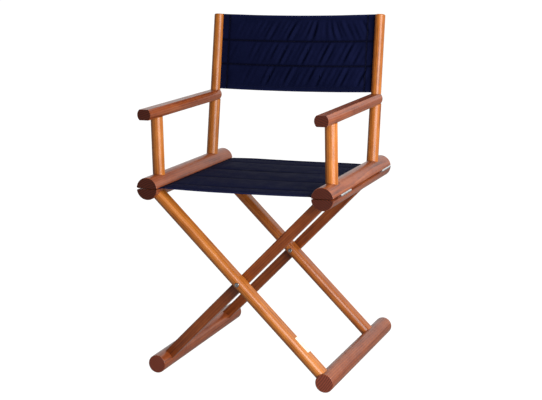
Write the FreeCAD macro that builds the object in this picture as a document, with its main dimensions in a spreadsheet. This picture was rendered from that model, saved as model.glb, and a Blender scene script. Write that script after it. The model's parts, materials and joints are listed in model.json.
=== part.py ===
"""Folding director's chair: turned wooden frame, two cloth slings, stainless fittings.

Frame: +X is the sitter's left hand side rail ("right" rail as seen from the front), -Y the
front, +Z up.  The origin is on the floor, under the middle of the chair.  Millimetres.

Each seat rail is a round bar sawn in two along its length.  The upper half carries the
posts, the armrest and the cloth; the lower half carries two legs.  The halves are hinged
along their outer edge, and the two leg frames cross and turn on two bolts.
"""
import FreeCAD, Part
import math
import os
import Sketcher

os.makedirs("parts", exist_ok=True)
doc = FreeCAD.newDocument("folding_chair")

# ---------------------------------------------------------------- driving dimensions
DIMENSIONS = [
    ("half_spacing", 225.0, "seat rail centre line to the middle plane"),
    ("seat_height", 469.0, "height of the split between the rail halves"),
    ("rail_radius", 27.5, "seat rail"),
    ("rail_front", -245.0, "front end of the seat rails"),
    ("rail_length", 456.0, "seat rails"),
    ("half_split", 1.0, "half the gap between the rail halves"),
    ("end_round", 1.5, "rounded edge on bar ends"),
    ("notch_depth", 8.0, "V notch along the outer edge of the split"),
    ("notch_half_width", 2.6, "V notch at the bar's surface, above or below the split"),
    ("foot_half_spacing", 221.0, "foot rail centre line to the middle plane"),
    ("foot_radius", 22.7, "foot rail"),
    ("foot_height", 22.3, "foot rail centre; the difference to its radius is the flat"),
    ("foot_front", -237.0, "front end of the foot rails"),
    ("foot_length", 482.0, "foot rails"),
    ("arm_height", 649.0, "armrest centre line"),
    ("arm_radius", 17.5, "round sides of the armrest"),
    ("arm_half_thick", 13.0, "armrest flats above and below its centre line"),
    ("arm_front", -244.0, "front end of the armrests"),
    ("front_post_y", -177.0, "front post axis"),
    ("front_post_radius", 15.0, "front post"),
    ("back_post_y", 133.7, "back post axis at the split"),
    ("recline_angle", 11.4, "back post, degrees from upright"),
    ("back_low_radius", 15.0, "back post below the armrest"),
    ("back_top_radius", 13.0, "back post above the armrest"),
    ("back_length", 399.0, "back post, along its axis, from the split to its top"),
    ("back_top_round", 3.0, "rounded top of the back post"),
    ("tenon_radius", 9.0, "post tenons"),
    ("tenon_seat_depth", 12.0, "rail wood left under a post tenon, above the split"),
    ("tenon_arm_depth", 14.0, "front post tenon in the armrest"),
    ("glue_gap", 0.05, "radial room round a glued tenon"),
    ("leg_width", 26.0, "leg, in the plane in which it swings"),
    ("leg_depth", 33.0, "leg, front to back"),
    ("leg_edge", 2.5, "rounded edges of a leg's flat side"),
    ("leg_gap", 3.0, "between the legs at a crossing"),
    ("front_cross_y", -198.0, "middle of the front crossing"),
    ("rear_cross_y", 157.5, "middle of the rear crossing"),
    ("leg_tenon_radius", 8.0, "leg tenons"),
    ("leg_tenon_rail", 12.0, "from a seat rail's centre to the end of the leg tenon"),
    ("leg_tenon_foot", 6.0, "from a foot rail's centre to the end of the leg tenon"),
    ("bolt_radius", 4.0, "pivot bolt"),
    ("bolt_fit", 0.06, "radial running fit of the pivot bolt"),
    ("bolt_head_radius", 5.5, "pivot bolt head and cap nut"),
    ("bolt_head_depth", 4.0, "head and nut, and how deep they sit in the legs"),
    ("head_room", 0.4, "radial room round head and nut"),
    ("washer_radius", 10.0, "spacer washer"),
    ("washer_thick", 2.5, "spacer washer"),
    ("hinge_offset", 26.2, "hinge axis outboard of the rail centre"),
    ("hinge_length", 74.0, "hinge"),
    ("hinge_front_y", -155.0, "middle of the front hinge"),
    ("hinge_rear_y", 169.0, "middle of the rear hinge"),
    ("pin_radius", 1.5, "hinge pin"),
    ("pin_fit", 0.05, "radial running fit of the hinge pin"),
    ("knuckle_radius", 3.2, "hinge knuckle"),
    ("knuckle_gap", 0.4, "between knuckles, and round them"),
    ("leaf_thick", 1.2, "hinge leaf"),
    ("leaf_offset", 0.4, "from the split to a leaf"),
    ("leaf_width", 20.0, "hinge leaf, from the axis"),
    ("screw_line", 12.0, "hinge screws inboard of the hinge axis"),
    ("screw_pitch", 25.0, "between hinge screws"),
    ("screw_radius", 1.6, "hinge screw shank"),
    ("screw_head_radius", 3.0, "hinge screw head"),
    ("screw_length", 10.0, "hinge screw"),
    ("rod_radius", 3.0, "rod in the seat cloth's sleeve"),
    ("rod_inboard", 13.0, "seat rod inboard of the rail centre"),
    ("rod_rise", 6.0, "seat rod above the split"),
    ("groove_inset", 9.0, "solid wood in front of the seat rod's groove"),
    ("back_rod_radius", 2.0, "rod in the back cloth's sleeve"),
    ("back_rod_inboard", 5.0, "back rod inboard of the post axis"),
    ("cloth_thin", 1.0, "single cloth of the sleeves"),
    ("cloth_thick", 3.0, "quilted slings"),
    ("sleeve_room", 0.3, "between a sleeve and its groove"),
    ("seat_front", -232.0, "front hem of the seat sling"),
    ("seat_length", 432.0, "seat sling, front to back"),
    ("seat_fold_x", 195.0, "line about which a half of the seat sling drops"),
    ("back_fold_x", 209.5, "line about which a half of the back sling swings"),
    ("back_cloth_low", 199.5, "lower hem of the back sling, along the back post"),
    ("back_cloth_high", 200.0, "back sling, hem to hem, along the back post"),
    ("half_room", 0.3, "from the middle plane to each sling half"),
    ("plate_length", 46.0, "blank plate"),
    ("plate_width", 14.0, "blank plate"),
    ("plate_thick", 0.6, "blank plate"),
    ("plate_along", 529.0, "blank plate's middle, down the leg from the seat rail"),
]
sheet = doc.addObject("Spreadsheet::Sheet", "dims")
for row, (alias, number, meaning) in enumerate(DIMENSIONS, start=1):
    sheet.set(f"A{row}", alias)
    sheet.set(f"B{row}", str(number))
    sheet.set(f"C{row}", meaning)
    sheet.setAlias(f"B{row}", alias)
doc.recompute()

SIDES = {"left": -1, "right": 1}
X_AXIS = FreeCAD.Vector(1, 0, 0)
Y_AXIS = FreeCAD.Vector(0, 1, 0)
CROSS_Y = {"front": "dims.front_cross_y", "rear": "dims.rear_cross_y"}
HINGE_Y = {"front": "dims.hinge_front_y", "rear": "dims.hinge_rear_y"}

# Worked-out lengths and angles that several pieces share.
LEG_DROP = "(dims.seat_height - dims.foot_height)"
LEG_SPREAD = "(dims.half_spacing + dims.foot_half_spacing)"
LEG_LENGTH = f"sqrt({LEG_DROP} * {LEG_DROP} + {LEG_SPREAD} * {LEG_SPREAD})"
LEG_TURN = f"(180 deg - atan({LEG_SPREAD} / {LEG_DROP}))"
PIVOT_HEIGHT = f"(dims.seat_height - {LEG_DROP} * dims.half_spacing / {LEG_SPREAD})"
ARM_RISE = "(dims.arm_height - dims.seat_height)"
ARM_END_Y = f"(dims.back_post_y + {ARM_RISE} * tan(dims.recline_angle))"
ARM_FLAT = "sqrt(dims.arm_radius * dims.arm_radius - dims.arm_half_thick * dims.arm_half_thick)"
POCKET_TOP = "(dims.leaf_offset + dims.leaf_thick)"
KNUCKLES = 5
SCREWS = (-1, 0, 1)
BIG = 80.0

nodes = []


def value(expression):
    """The number that an expression on the sheet gives."""
    found = sheet.evalExpression(str(expression))
    return float(getattr(found, "Value", found))


def bind(thing, **expressions):
    """Bind sizes of an object to the sheet."""
    for name, expression in expressions.items():
        thing.setExpression(name, str(expression))
    return thing


def put(thing, x="0", y="0", z="0", axis=None, angle="0"):
    """Place an object: turned about an axis, then moved, all bound to the sheet."""
    turn = FreeCAD.Rotation(axis or X_AXIS, value(angle))
    thing.Placement = FreeCAD.Placement(FreeCAD.Vector(), turn)
    for letter, expression in zip("xyz", (x, y, z)):
        thing.setExpression(f"Placement.Base.{letter}", str(expression))
    if axis is not None:
        thing.setExpression("Placement.Rotation.Angle", str(angle))
    return thing


def finished(thing, name):
    """Name a finished sub-part."""
    thing.Label = name
    nodes.append(thing)
    return thing


def cylinder(name, radius, length):
    """A cylinder along its own Z."""
    return bind(doc.addObject("Part::Cylinder", name), Radius=radius, Height=length)


def box(name, length, width, height):
    """A box from its own origin."""
    return bind(doc.addObject("Part::Box", name), Length=length, Width=width, Height=height)


def bar_y(name, radius, length, x, y, z):
    """A cylinder along the chair's Y."""
    return put(cylinder(name, radius, length), x, y, z, X_AXIS, "-90")


def fuse(name, shapes):
    """Several shapes as one."""
    joined = doc.addObject("Part::MultiFuse", name)
    joined.Shapes = shapes
    return joined


def cut(name, base, tools):
    """A base less its tools."""
    tool = tools[0] if len(tools) == 1 else fuse(f"{name}_tools", tools)
    less = doc.addObject("Part::Cut", name)
    less.Base = base
    less.Tool = tool
    return less


def group(name, shapes):
    """Separate solids kept as one sub-part."""
    together = doc.addObject("Part::Compound", name)
    together.Links = shapes
    return together


def origin_plane(body, role):
    """One of a body's own origin planes."""
    return next(plane for plane in body.Origin.OriginFeatures if plane.Role == role)


def draw(body, name, role, outline):
    """A closed sketch on a body's origin plane.

    The outline is a list of corners (x, y), written as expressions.  A third entry, (x, y),
    is the centre of an arc from that corner to the next; a fourth, -1, turns it clockwise.
    """
    sketch = body.newObject("Sketcher::SketchObject", name)
    sketch.AttachmentSupport = (origin_plane(body, role), [""])
    sketch.MapMode = "FlatFace"
    corners = [FreeCAD.Vector(value(step[0]), value(step[1]), 0) for step in outline]
    starts = []
    ends = []
    for index, step in enumerate(outline):
        here = corners[index]
        there = corners[(index + 1) % len(corners)]
        if len(step) == 2:
            sketch.addGeometry(Part.LineSegment(here, there))
            starts.append(1)
            ends.append(2)
            continue
        centre = FreeCAD.Vector(value(step[2][0]), value(step[2][1]), 0)
        clockwise = len(step) == 4
        first, last = (there, here) if clockwise else (here, there)
        angles = [math.atan2(*reversed((point - centre)[:2])) for point in (first, last)]
        circle = Part.Circle(centre, FreeCAD.Vector(0, 0, 1), (here - centre).Length)
        sketch.addGeometry(Part.ArcOfCircle(circle, *angles))
        starts.append(2 if clockwise else 1)
        ends.append(1 if clockwise else 2)
        wide = abs(here.x - there.x) > abs(here.y - there.y)
        kind, expression = ("DistanceY", step[2][1]) if wide else ("DistanceX", step[2][0])
        hold(sketch, kind, index, 3, expression)
    for index, step in enumerate(outline):
        following = (index + 1) % len(corners)
        joint = Sketcher.Constraint("Coincident", index, ends[index], following, starts[following])
        sketch.addConstraint(joint)
        hold(sketch, "DistanceX", index, starts[index], step[0])
        hold(sketch, "DistanceY", index, starts[index], step[1])
    return sketch


def hold(sketch, kind, index, point, expression):
    """Fix one coordinate of a sketch point to an expression."""
    if str(expression) == "0":
        axis = -2 if kind == "DistanceX" else -1
        sketch.addConstraint(Sketcher.Constraint("PointOnObject", index, point, axis))
        return
    place = sketch.addConstraint(
        Sketcher.Constraint(kind, -1, 1, index, point, value(expression))
    )
    sketch.setExpression(f"Constraints[{place}]", str(expression))


def turned(name, outline):
    """A body turned about its own Z from an outline of (radius, height) corners."""
    body = doc.addObject("PartDesign::Body", name)
    sketch = draw(body, f"{name}_profile", "XZ_Plane", outline)
    turn = body.newObject("PartDesign::Revolution", f"{name}_turn")
    turn.Profile = sketch
    turn.ReferenceAxis = (sketch, ["V_Axis"])
    turn.Angle = 360.0
    return body


def padded(name, role, outline, length):
    """A body padded from an outline on one of its origin planes."""
    body = doc.addObject("PartDesign::Body", name)
    sketch = draw(body, f"{name}_profile", role, outline)
    pad = body.newObject("PartDesign::Pad", f"{name}_pad")
    pad.Profile = sketch
    bind(pad, Length=length)
    return body


def round_bar(name, radius, length, edge):
    """A turned bar with rounded ends, along its own Z."""
    inner = f"({radius} - {edge})"
    upper = f"({length} - {edge})"
    return turned(
        name,
        [
            ("0", "0"),
            (inner, "0", (inner, edge)),
            (radius, edge),
            (radius, upper, (inner, upper)),
            (inner, length),
            ("0", length),
        ],
    )


def rail_blank(name, side):
    """A whole seat rail, before it is sawn in two."""
    bar = round_bar(name, "dims.rail_radius", "dims.rail_length", "dims.end_round")
    x = f"{side} * dims.half_spacing"
    return put(bar, x, "dims.rail_front", "dims.seat_height", X_AXIS, "-90")


def foot_axis(side):
    """The x of a foot rail."""
    return f"{side} * dims.foot_half_spacing"


def hinge_axis(side):
    """The x of the hinge line on one side."""
    return f"{side} * (dims.half_spacing + dims.hinge_offset)"


# ---------------------------------------------------------------- hinges
def knuckle_spans(where, chosen):
    """Start and length of every chosen knuckle of a hinge, as expressions."""
    start = f"({HINGE_Y[where]} - dims.hinge_length / 2)"
    step = f"(dims.hinge_length / {KNUCKLES})"
    for index in chosen:
        yield index, f"{start} + {index} * {step} + dims.knuckle_gap / 2", f"{step} - dims.knuckle_gap"


def hinge_leaf(name, side, where, half):
    """One leaf of a hinge: half is 1 for the upper leaf and -1 for the lower."""
    own = range(0, KNUCKLES, 2) if half > 0 else range(1, KNUCKLES, 2)
    other = range(1, KNUCKLES, 2) if half > 0 else range(0, KNUCKLES, 2)
    axis_x = hinge_axis(side)
    start_y = f"{HINGE_Y[where]} - dims.hinge_length / 2"
    edge_x = axis_x if side < 0 else f"{axis_x} - dims.leaf_width"
    low = "dims.leaf_offset" if half > 0 else f"-1 * {POCKET_TOP}"
    plate = box(f"{name}_plate", "dims.leaf_width", "dims.hinge_length", "dims.leaf_thick")
    solids = [put(plate, edge_x, start_y, f"dims.seat_height + {low}")]
    for index, begin, length in knuckle_spans(where, own):
        solids.append(
            bar_y(f"{name}_knuckle{index}", "dims.knuckle_radius", length, axis_x, begin,
                  "dims.seat_height")
        )
    bore = bar_y(f"{name}_bore", "dims.pin_radius + dims.pin_fit", "dims.hinge_length + 2",
                 axis_x, f"{start_y} - 1", "dims.seat_height")
    room = "dims.knuckle_radius + dims.knuckle_gap"
    tools = [bore]
    for index, begin, length in knuckle_spans(where, other):
        tools.append(
            bar_y(f"{name}_room{index}", room, f"{length} + 2 * dims.knuckle_gap", axis_x,
                  f"{begin} - dims.knuckle_gap", "dims.seat_height")
        )
    for place in SCREWS:
        sink = doc.addObject("Part::Cone", f"{name}_sink{place + 2}")
        wide = "dims.screw_head_radius + 0.05"
        narrow = "dims.screw_radius + 0.05"
        first, second = (wide, narrow) if half > 0 else (narrow, wide)
        bind(sink, Radius1=first, Radius2=second, Height="dims.leaf_thick")
        put(sink, f"{axis_x} - {side} * dims.screw_line", screw_y(where, place),
            f"dims.seat_height + {low}")
        tools.append(sink)
    return cut(name, fuse(f"{name}_solid", solids), tools)


def screw_y(where, place):
    """The y of one hinge screw."""
    return f"{HINGE_Y[where]} + {place} * dims.screw_pitch"


def hinge_screw(name, side, where, place, half):
    """A countersunk screw through a leaf: half is 1 upwards and -1 downwards."""
    head = "dims.screw_head_radius"
    shank = "dims.screw_radius"
    tip = "(dims.screw_length - 1.5)"
    body = turned(
        name,
        [
            ("0", "0"),
            (head, "0"),
            (shank, "dims.leaf_thick"),
            (shank, tip),
            ("0.3", "dims.screw_length"),
            ("0", "dims.screw_length"),
        ],
    )
    x = f"{hinge_axis(side)} - {side} * dims.screw_line"
    z = f"dims.seat_height + {half} * dims.leaf_offset"
    return put(body, x, screw_y(where, place), z, X_AXIS, "0" if half > 0 else "180")


def hinge_room(name, side, half):
    """What a rail half loses to its two hinges: leaf pockets, knuckle room, screw holes."""
    tools = []
    axis_x = hinge_axis(side)
    for where in HINGE_Y:
        start = f"{HINGE_Y[where]} - dims.hinge_length / 2"
        edge_x = axis_x if side < 0 else f"{axis_x} - dims.leaf_width"
        low = "0" if half > 0 else f"-1 * {POCKET_TOP}"
        pocket = box(f"{name}_{where}_pocket", "dims.leaf_width", "dims.hinge_length", POCKET_TOP)
        tools.append(put(pocket, edge_x, start, f"dims.seat_height + {low}"))
        tools.append(
            bar_y(f"{name}_{where}_barrel", "dims.knuckle_radius + 1.5 * dims.knuckle_gap",
                  "dims.hinge_length + 1", axis_x, f"{start} - 0.5", "dims.seat_height")
        )
        for place in SCREWS:
            hole = cylinder(f"{name}_{where}_hole{place + 2}", "dims.screw_radius + 0.05",
                            "dims.screw_length + 0.5")
            z = "dims.seat_height" if half > 0 else "dims.seat_height - dims.screw_length - 0.5"
            x = f"{axis_x} - {side} * dims.screw_line"
            tools.append(put(hole, x, screw_y(where, place), z))
    return tools


def edge_notch(name, side):
    """The V notch along the outer edge of a split rail, and a small one inside."""
    tools = []
    for edge, depth in ((side, "dims.notch_depth"), (-side, "dims.notch_depth / 3")):
        deep = f"(dims.rail_radius - {depth})"
        wide = "(dims.notch_half_width + dims.half_split)"
        over = "(dims.rail_radius + 1)"
        wedge = padded(
            f"{name}_{'outer' if edge == side else 'inner'}",
            "XZ_Plane",
            [
                (f"{edge} * {deep}", "0"),
                (f"{edge} * {over}", f"-1 * {wide}"),
                (f"{edge} * {over}", wide),
            ],
            "dims.rail_length + 2",
        )
        # The pad of an XZ sketch grows towards -Y, so it starts behind the rail's rear end.
        rear = "dims.rail_front + dims.rail_length + 1"
        tools.append(put(wedge, f"{side} * dims.half_spacing", rear, "dims.seat_height"))
    return tools


# ---------------------------------------------------------------- legs
def leg_base(owner, where):
    """The y of a leg's flat side: the left rail's legs pass in front of the right rail's."""
    sign = "-" if owner == "left" else "+"
    return f"{CROSS_Y[where]} {sign} dims.leg_gap / 2"


def leg_side(owner):
    """Which way a leg's round side faces: forwards on the left rail's legs."""
    return -1 if owner == "left" else 1


def leg_tenon(name, owner, where, radius, start, length):
    """A cylinder on a leg's axis, from a distance down the leg."""
    out = -SIDES[owner]
    along = f"({start})"
    sine = f"{LEG_SPREAD} / {LEG_LENGTH}"
    cosine = f"{LEG_DROP} / {LEG_LENGTH}"
    x = f"{SIDES[owner]} * dims.half_spacing + {out} * {along} * {sine}"
    y = f"{leg_base(owner, where)} + {leg_side(owner)} * dims.leg_depth / 2"
    z = f"dims.seat_height - {along} * {cosine}"
    return put(cylinder(name, radius, length), x, y, z, Y_AXIS, f"{out} * {LEG_TURN}")


TENON_END = f"({LEG_LENGTH} - dims.leg_tenon_foot)"


def leg(owner, where):
    """A leg from a lower rail half, across the chair, to the opposite foot rail."""
    name = f"{where}_leg_from_{owner}"
    out = leg_side(owner)
    half = "dims.leg_width / 2"
    flat = f"({half} - dims.leg_edge)"
    edge = f"{out} * dims.leg_edge"
    shoulder = f"{out} * (dims.leg_depth - {half})"
    turned_way = () if out > 0 else (-1,)
    blank = padded(
        f"{name}_blank",
        "XY_Plane",
        [
            (flat, "0", (flat, edge), *turned_way),
            (half, edge),
            (half, shoulder, ("0", shoulder), *turned_way),
            (f"-{half}", shoulder),
            (f"-{half}", edge, (f"-{flat}", edge), *turned_way),
            (f"-{flat}", "0"),
        ],
        LEG_LENGTH,
    )
    side = SIDES[owner]
    put(blank, f"{side} * dims.half_spacing", leg_base(owner, where), "dims.seat_height",
        Y_AXIS, f"{-side} * {LEG_TURN}")
    begin_y = f"{CROSS_Y[where]} - {BIG}"
    rail = bar_y(f"{name}_cope_rail", "dims.rail_radius", 2 * BIG,
                 f"{side} * dims.half_spacing", begin_y, "dims.seat_height")
    foot = bar_y(f"{name}_cope_foot", "dims.foot_radius", 2 * BIG, foot_axis(-side), begin_y,
                 "dims.foot_height")
    bolt_hole = bar_y(f"{name}_bolt_hole", "dims.bolt_radius + dims.bolt_fit", 2 * BIG, "0",
                      begin_y, PIVOT_HEIGHT)
    outer = f"{leg_base(owner, where)} + {out} * (dims.leg_depth - dims.bolt_head_depth)"
    far_y = outer if out > 0 else f"{outer} - {BIG}"
    head_hole = bar_y(f"{name}_head_hole", "dims.bolt_head_radius + dims.head_room", BIG, "0",
                      far_y, PIVOT_HEIGHT)
    shaped = cut(f"{name}_shaped", blank, [rail, foot])
    top = leg_tenon(f"{name}_top_tenon", owner, where, "dims.leg_tenon_radius",
                    "dims.leg_tenon_rail", "dims.rail_radius")
    bottom = leg_tenon(f"{name}_bottom_tenon", owner, where, "dims.leg_tenon_radius",
                       f"{TENON_END} - dims.foot_radius", "dims.foot_radius")
    whole = fuse(f"{name}_whole", [shaped, top, bottom])
    return finished(cut(name, whole, [bolt_hole, head_hole]), name)


# ---------------------------------------------------------------- rails
def post_tenon_low():
    """Height at which the post tenons end inside the rail."""
    return "(dims.seat_height + dims.tenon_seat_depth)"


def back_line(name, side, radius, start, length, inboard="0"):
    """A cylinder along a back post, from a distance up it."""
    y = f"dims.back_post_y + ({start}) * sin(dims.recline_angle)"
    z = f"dims.seat_height + ({start}) * cos(dims.recline_angle)"
    x = f"{side} * (dims.half_spacing - {inboard})"
    return put(cylinder(name, radius, length), x, y, z, X_AXIS, "-1 * dims.recline_angle")


def upper_rail(side_name):
    """The upper half of a seat rail."""
    side = SIDES[side_name]
    name = f"upper_rail_{side_name}"
    x = f"{side} * dims.half_spacing"
    below = put(box(f"{name}_below", 2 * BIG, 8 * BIG, BIG), f"{x} - {BIG}", f"{-4 * BIG}",
                f"dims.seat_height + dims.half_split - {BIG}")
    front = put(cylinder(f"{name}_front_mortise", "dims.tenon_radius + dims.glue_gap", BIG), x,
                "dims.front_post_y", post_tenon_low())
    rear = back_line(f"{name}_back_mortise", side, "dims.tenon_radius + dims.glue_gap",
                     "dims.tenon_seat_depth", BIG)
    rod_x = f"{side} * (dims.half_spacing - dims.rod_inboard)"
    sleeve = "(dims.rod_radius + dims.cloth_thin + dims.sleeve_room)"
    groove_front = "dims.rail_front + dims.groove_inset"
    groove = bar_y(f"{name}_groove", sleeve, "dims.rail_length", rod_x, groove_front,
                   "dims.seat_height + dims.rod_rise")
    slot_width = "(dims.cloth_thin + 2 * dims.sleeve_room)"
    slot = put(box(f"{name}_slot", slot_width, "dims.rail_length", "dims.rod_rise"),
               f"{rod_x} - {slot_width} / 2", groove_front, "dims.seat_height")
    tools = [below, front, rear, groove, slot]
    tools += edge_notch(f"{name}_notch", side)
    tools += hinge_room(name, side, 1)
    return finished(cut(name, rail_blank(f"{name}_blank", side), tools), name)


def lower_rail(side_name):
    """The lower half of a seat rail."""
    side = SIDES[side_name]
    name = f"lower_rail_{side_name}"
    x = f"{side} * dims.half_spacing"
    above = put(box(f"{name}_above", 2 * BIG, 8 * BIG, BIG), f"{x} - {BIG}", f"{-4 * BIG}",
                "dims.seat_height - dims.half_split")
    tools = [above]
    for where in CROSS_Y:
        tools.append(
            leg_tenon(f"{name}_{where}_mortise", side_name, where,
                      "dims.leg_tenon_radius + dims.glue_gap", "dims.leg_tenon_rail", BIG)
        )
    tools += edge_notch(f"{name}_notch", side)
    tools += hinge_room(name, side, -1)
    return finished(cut(name, rail_blank(f"{name}_blank", side), tools), name)


def foot_rail(side_name):
    """A foot rail, with a narrow flat planed where it meets the floor."""
    side = SIDES[side_name]
    name = f"foot_rail_{side_name}"
    bar = round_bar(f"{name}_blank", "dims.foot_radius", "dims.foot_length", "dims.end_round")
    put(bar, foot_axis(side), "dims.foot_front", "dims.foot_height", X_AXIS, "-90")
    floor = put(box(f"{name}_floor", 2 * BIG, 8 * BIG, BIG), f"{foot_axis(side)} - {BIG}",
                f"{-4 * BIG}", f"{-BIG}")
    tools = [floor]
    owner = "left" if side_name == "right" else "right"
    for where in CROSS_Y:
        tools.append(
            leg_tenon(f"{name}_{where}_mortise", owner, where,
                      "dims.leg_tenon_radius + dims.glue_gap",
                      f"{TENON_END} - {BIG}", BIG)
        )
    return finished(cut(name, bar, tools), name)


# ---------------------------------------------------------------- posts and armrests
def front_post(side_name):
    """An upright post between the upper rail half and the armrest."""
    side = SIDES[side_name]
    name = f"front_post_{side_name}"
    x = f"{side} * dims.half_spacing"
    shoulder = "(dims.arm_height - dims.arm_half_thick)"
    post = put(cylinder(f"{name}_round", "dims.front_post_radius",
                        f"{shoulder} - dims.seat_height"),
               x, "dims.front_post_y", "dims.seat_height")
    rail = bar_y(f"{name}_cope", "dims.rail_radius", 2 * BIG, x, f"dims.front_post_y - {BIG}",
                 "dims.seat_height")
    coped = cut(f"{name}_coped", post, [rail])
    top = f"{shoulder} + dims.tenon_arm_depth - 0.5"
    spindle = put(cylinder(f"{name}_spindle", "dims.tenon_radius", f"{top} - {post_tenon_low()}"),
                  x, "dims.front_post_y", post_tenon_low())
    return finished(fuse(name, [coped, spindle]), name)


def back_post(side_name):
    """A leaning post from the upper rail half, through the armrest, to the top of the back."""
    side = SIDES[side_name]
    name = f"back_post_{side_name}"
    x = f"{side} * dims.half_spacing"
    low = back_line(f"{name}_low", side, "dims.back_low_radius", "0",
                    f"{ARM_RISE} / cos(dims.recline_angle)")
    rail = bar_y(f"{name}_cope", "dims.rail_radius", 2 * BIG, x, f"dims.back_post_y - {BIG}",
                 "dims.seat_height")
    arm = put(box(f"{name}_arm", 2 * BIG, 2 * BIG, BIG), f"{x} - {BIG}",
              f"{ARM_END_Y} - {BIG}", "dims.arm_height - dims.arm_half_thick")
    coped = cut(f"{name}_coped", low, [rail, arm])
    begin = "(dims.rail_radius + 10)"
    inner = "(dims.back_top_radius - dims.back_top_round)"
    upper = "(dims.back_length - dims.back_top_round)"
    spindle = turned(
        f"{name}_spindle",
        [
            ("0", begin),
            ("dims.back_top_radius", begin),
            ("dims.back_top_radius", upper, (inner, upper)),
            (inner, "dims.back_length"),
            ("0", "dims.back_length"),
        ],
    )
    put(spindle, x, "dims.back_post_y", "dims.seat_height", X_AXIS, "-1 * dims.recline_angle")
    tenon = back_line(f"{name}_tenon", side, "dims.tenon_radius", "dims.tenon_seat_depth + 0.5",
                      "dims.rail_radius + 2")
    whole = fuse(f"{name}_whole", [coped, spindle, tenon])
    start = "(dims.back_cloth_low - 2)"
    channel_radius = "(dims.back_rod_radius + dims.cloth_thin + dims.sleeve_room)"
    channel = back_line(f"{name}_channel", side, channel_radius, start, 4 * BIG,
                        "dims.back_rod_inboard")
    width = "(dims.cloth_thin + 2 * dims.sleeve_room)"
    slot = box(f"{name}_slot", BIG, width, 4 * BIG)
    slot_x = f"{side} * (dims.half_spacing - dims.back_rod_inboard)"
    slot_x += f" - {BIG}" if side > 0 else ""
    y = f"dims.back_post_y + {start} * sin(dims.recline_angle)"
    y += f" - {width} / 2 * cos(dims.recline_angle)"
    z = f"dims.seat_height + {start} * cos(dims.recline_angle)"
    z += f" + {width} / 2 * sin(dims.recline_angle)"
    put(slot, slot_x, y, z, X_AXIS, "-1 * dims.recline_angle")
    return finished(cut(name, whole, [channel, slot]), name)


def armrest(side_name):
    """An armrest: a bar flattened above and below, with a round rear end on the back post."""
    side = SIDES[side_name]
    name = f"armrest_{side_name}"
    x = f"{side} * dims.half_spacing"
    thick = "dims.arm_half_thick"
    bar = padded(
        f"{name}_bar",
        "XZ_Plane",
        [
            (f"-1 * {ARM_FLAT}", f"-{thick}"),
            (ARM_FLAT, f"-{thick}", ("0", "0")),
            (ARM_FLAT, thick),
            (f"-1 * {ARM_FLAT}", thick, ("0", "0")),
        ],
        f"{ARM_END_Y} - dims.arm_front",
    )
    put(bar, x, ARM_END_Y, "dims.arm_height")
    end = turned(
        f"{name}_end",
        [
            ("0", f"-{thick}"),
            (ARM_FLAT, f"-{thick}", ("0", "0")),
            (ARM_FLAT, thick),
            ("0", thick),
        ],
    )
    put(end, x, ARM_END_Y, "dims.arm_height")
    mortise = put(cylinder(f"{name}_mortise", "dims.tenon_radius + dims.glue_gap",
                           f"{thick} + dims.tenon_arm_depth"),
                  x, "dims.front_post_y", f"dims.arm_height - 2 * {thick}")
    hole = back_line(f"{name}_hole", side, "dims.back_top_radius + dims.glue_gap",
                     "dims.rail_radius + 50", 4 * BIG)
    return finished(cut(name, fuse(f"{name}_whole", [bar, end]), [mortise, hole]), name)


# ---------------------------------------------------------------- cloth and its rods
def seat_edge(side_name):
    """The rod in a seat rail's groove and the sewn sleeve round it."""
    side = SIDES[side_name]
    rod_x = f"{side} * (dims.half_spacing - dims.rod_inboard)"
    rod_z = "dims.seat_height + dims.rod_rise"
    rod_length = "dims.rail_length - dims.groove_inset - 4"
    rod = bar_y(f"seat_rod_{side_name}", "dims.rod_radius", rod_length, rod_x,
                "dims.rail_front + dims.groove_inset + 1", rod_z)
    finished(rod, f"seat_rod_{side_name}")
    name = f"seat_sleeve_{side_name}"
    ring = bar_y(f"{name}_ring", "dims.rod_radius + dims.cloth_thin", "dims.seat_length", rod_x,
                 "dims.seat_front", rod_z)
    thin = "dims.cloth_thin"
    web = put(box(f"{name}_web", thin, "dims.seat_length", f"dims.rod_rise + {thin} / 2"),
              f"{rod_x} - {thin} / 2", "dims.seat_front", f"dims.seat_height - {thin} / 2")
    reach = "(dims.half_spacing - dims.rod_inboard - dims.seat_fold_x - dims.half_room)"
    tongue_x = f"{rod_x} - {reach}" if side > 0 else rod_x
    tongue = put(box(f"{name}_tongue", reach, "dims.seat_length", thin), tongue_x,
                 "dims.seat_front", f"dims.seat_height - {thin} / 2")
    bore = bar_y(f"{name}_bore", "dims.rod_radius + dims.glue_gap", "dims.rail_length + 2",
                 rod_x, "dims.rail_front - 1", rod_z)
    whole = fuse(f"{name}_whole", [ring, web, tongue])
    finished(cut(name, whole, [bore]), name)


def back_edge(side_name):
    """The rod in a back post's groove and the sewn sleeve round it."""
    side = SIDES[side_name]
    low = "dims.back_cloth_low"
    high = "dims.back_cloth_high"
    rod = back_line(f"back_rod_{side_name}", side, "dims.back_rod_radius", low, high,
                    "dims.back_rod_inboard")
    finished(rod, f"back_rod_{side_name}")
    name = f"back_sleeve_{side_name}"
    ring = back_line(f"{name}_ring", side, "dims.back_rod_radius + dims.cloth_thin", low, high,
                     "dims.back_rod_inboard")
    thin = "dims.cloth_thin"
    rod_x = "(dims.half_spacing - dims.back_rod_inboard)"
    reach = f"({rod_x} - dims.back_fold_x - dims.half_room)"
    tongue = back_slab(f"{name}_tongue", f"{rod_x} - {reach}", reach, thin, side)
    bore = back_line(f"{name}_bore", side, "dims.back_rod_radius + dims.glue_gap",
                     f"{low} - 1", f"{high} + 2", "dims.back_rod_inboard")
    finished(cut(name, fuse(f"{name}_whole", [ring, tongue]), [bore]), name)


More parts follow.
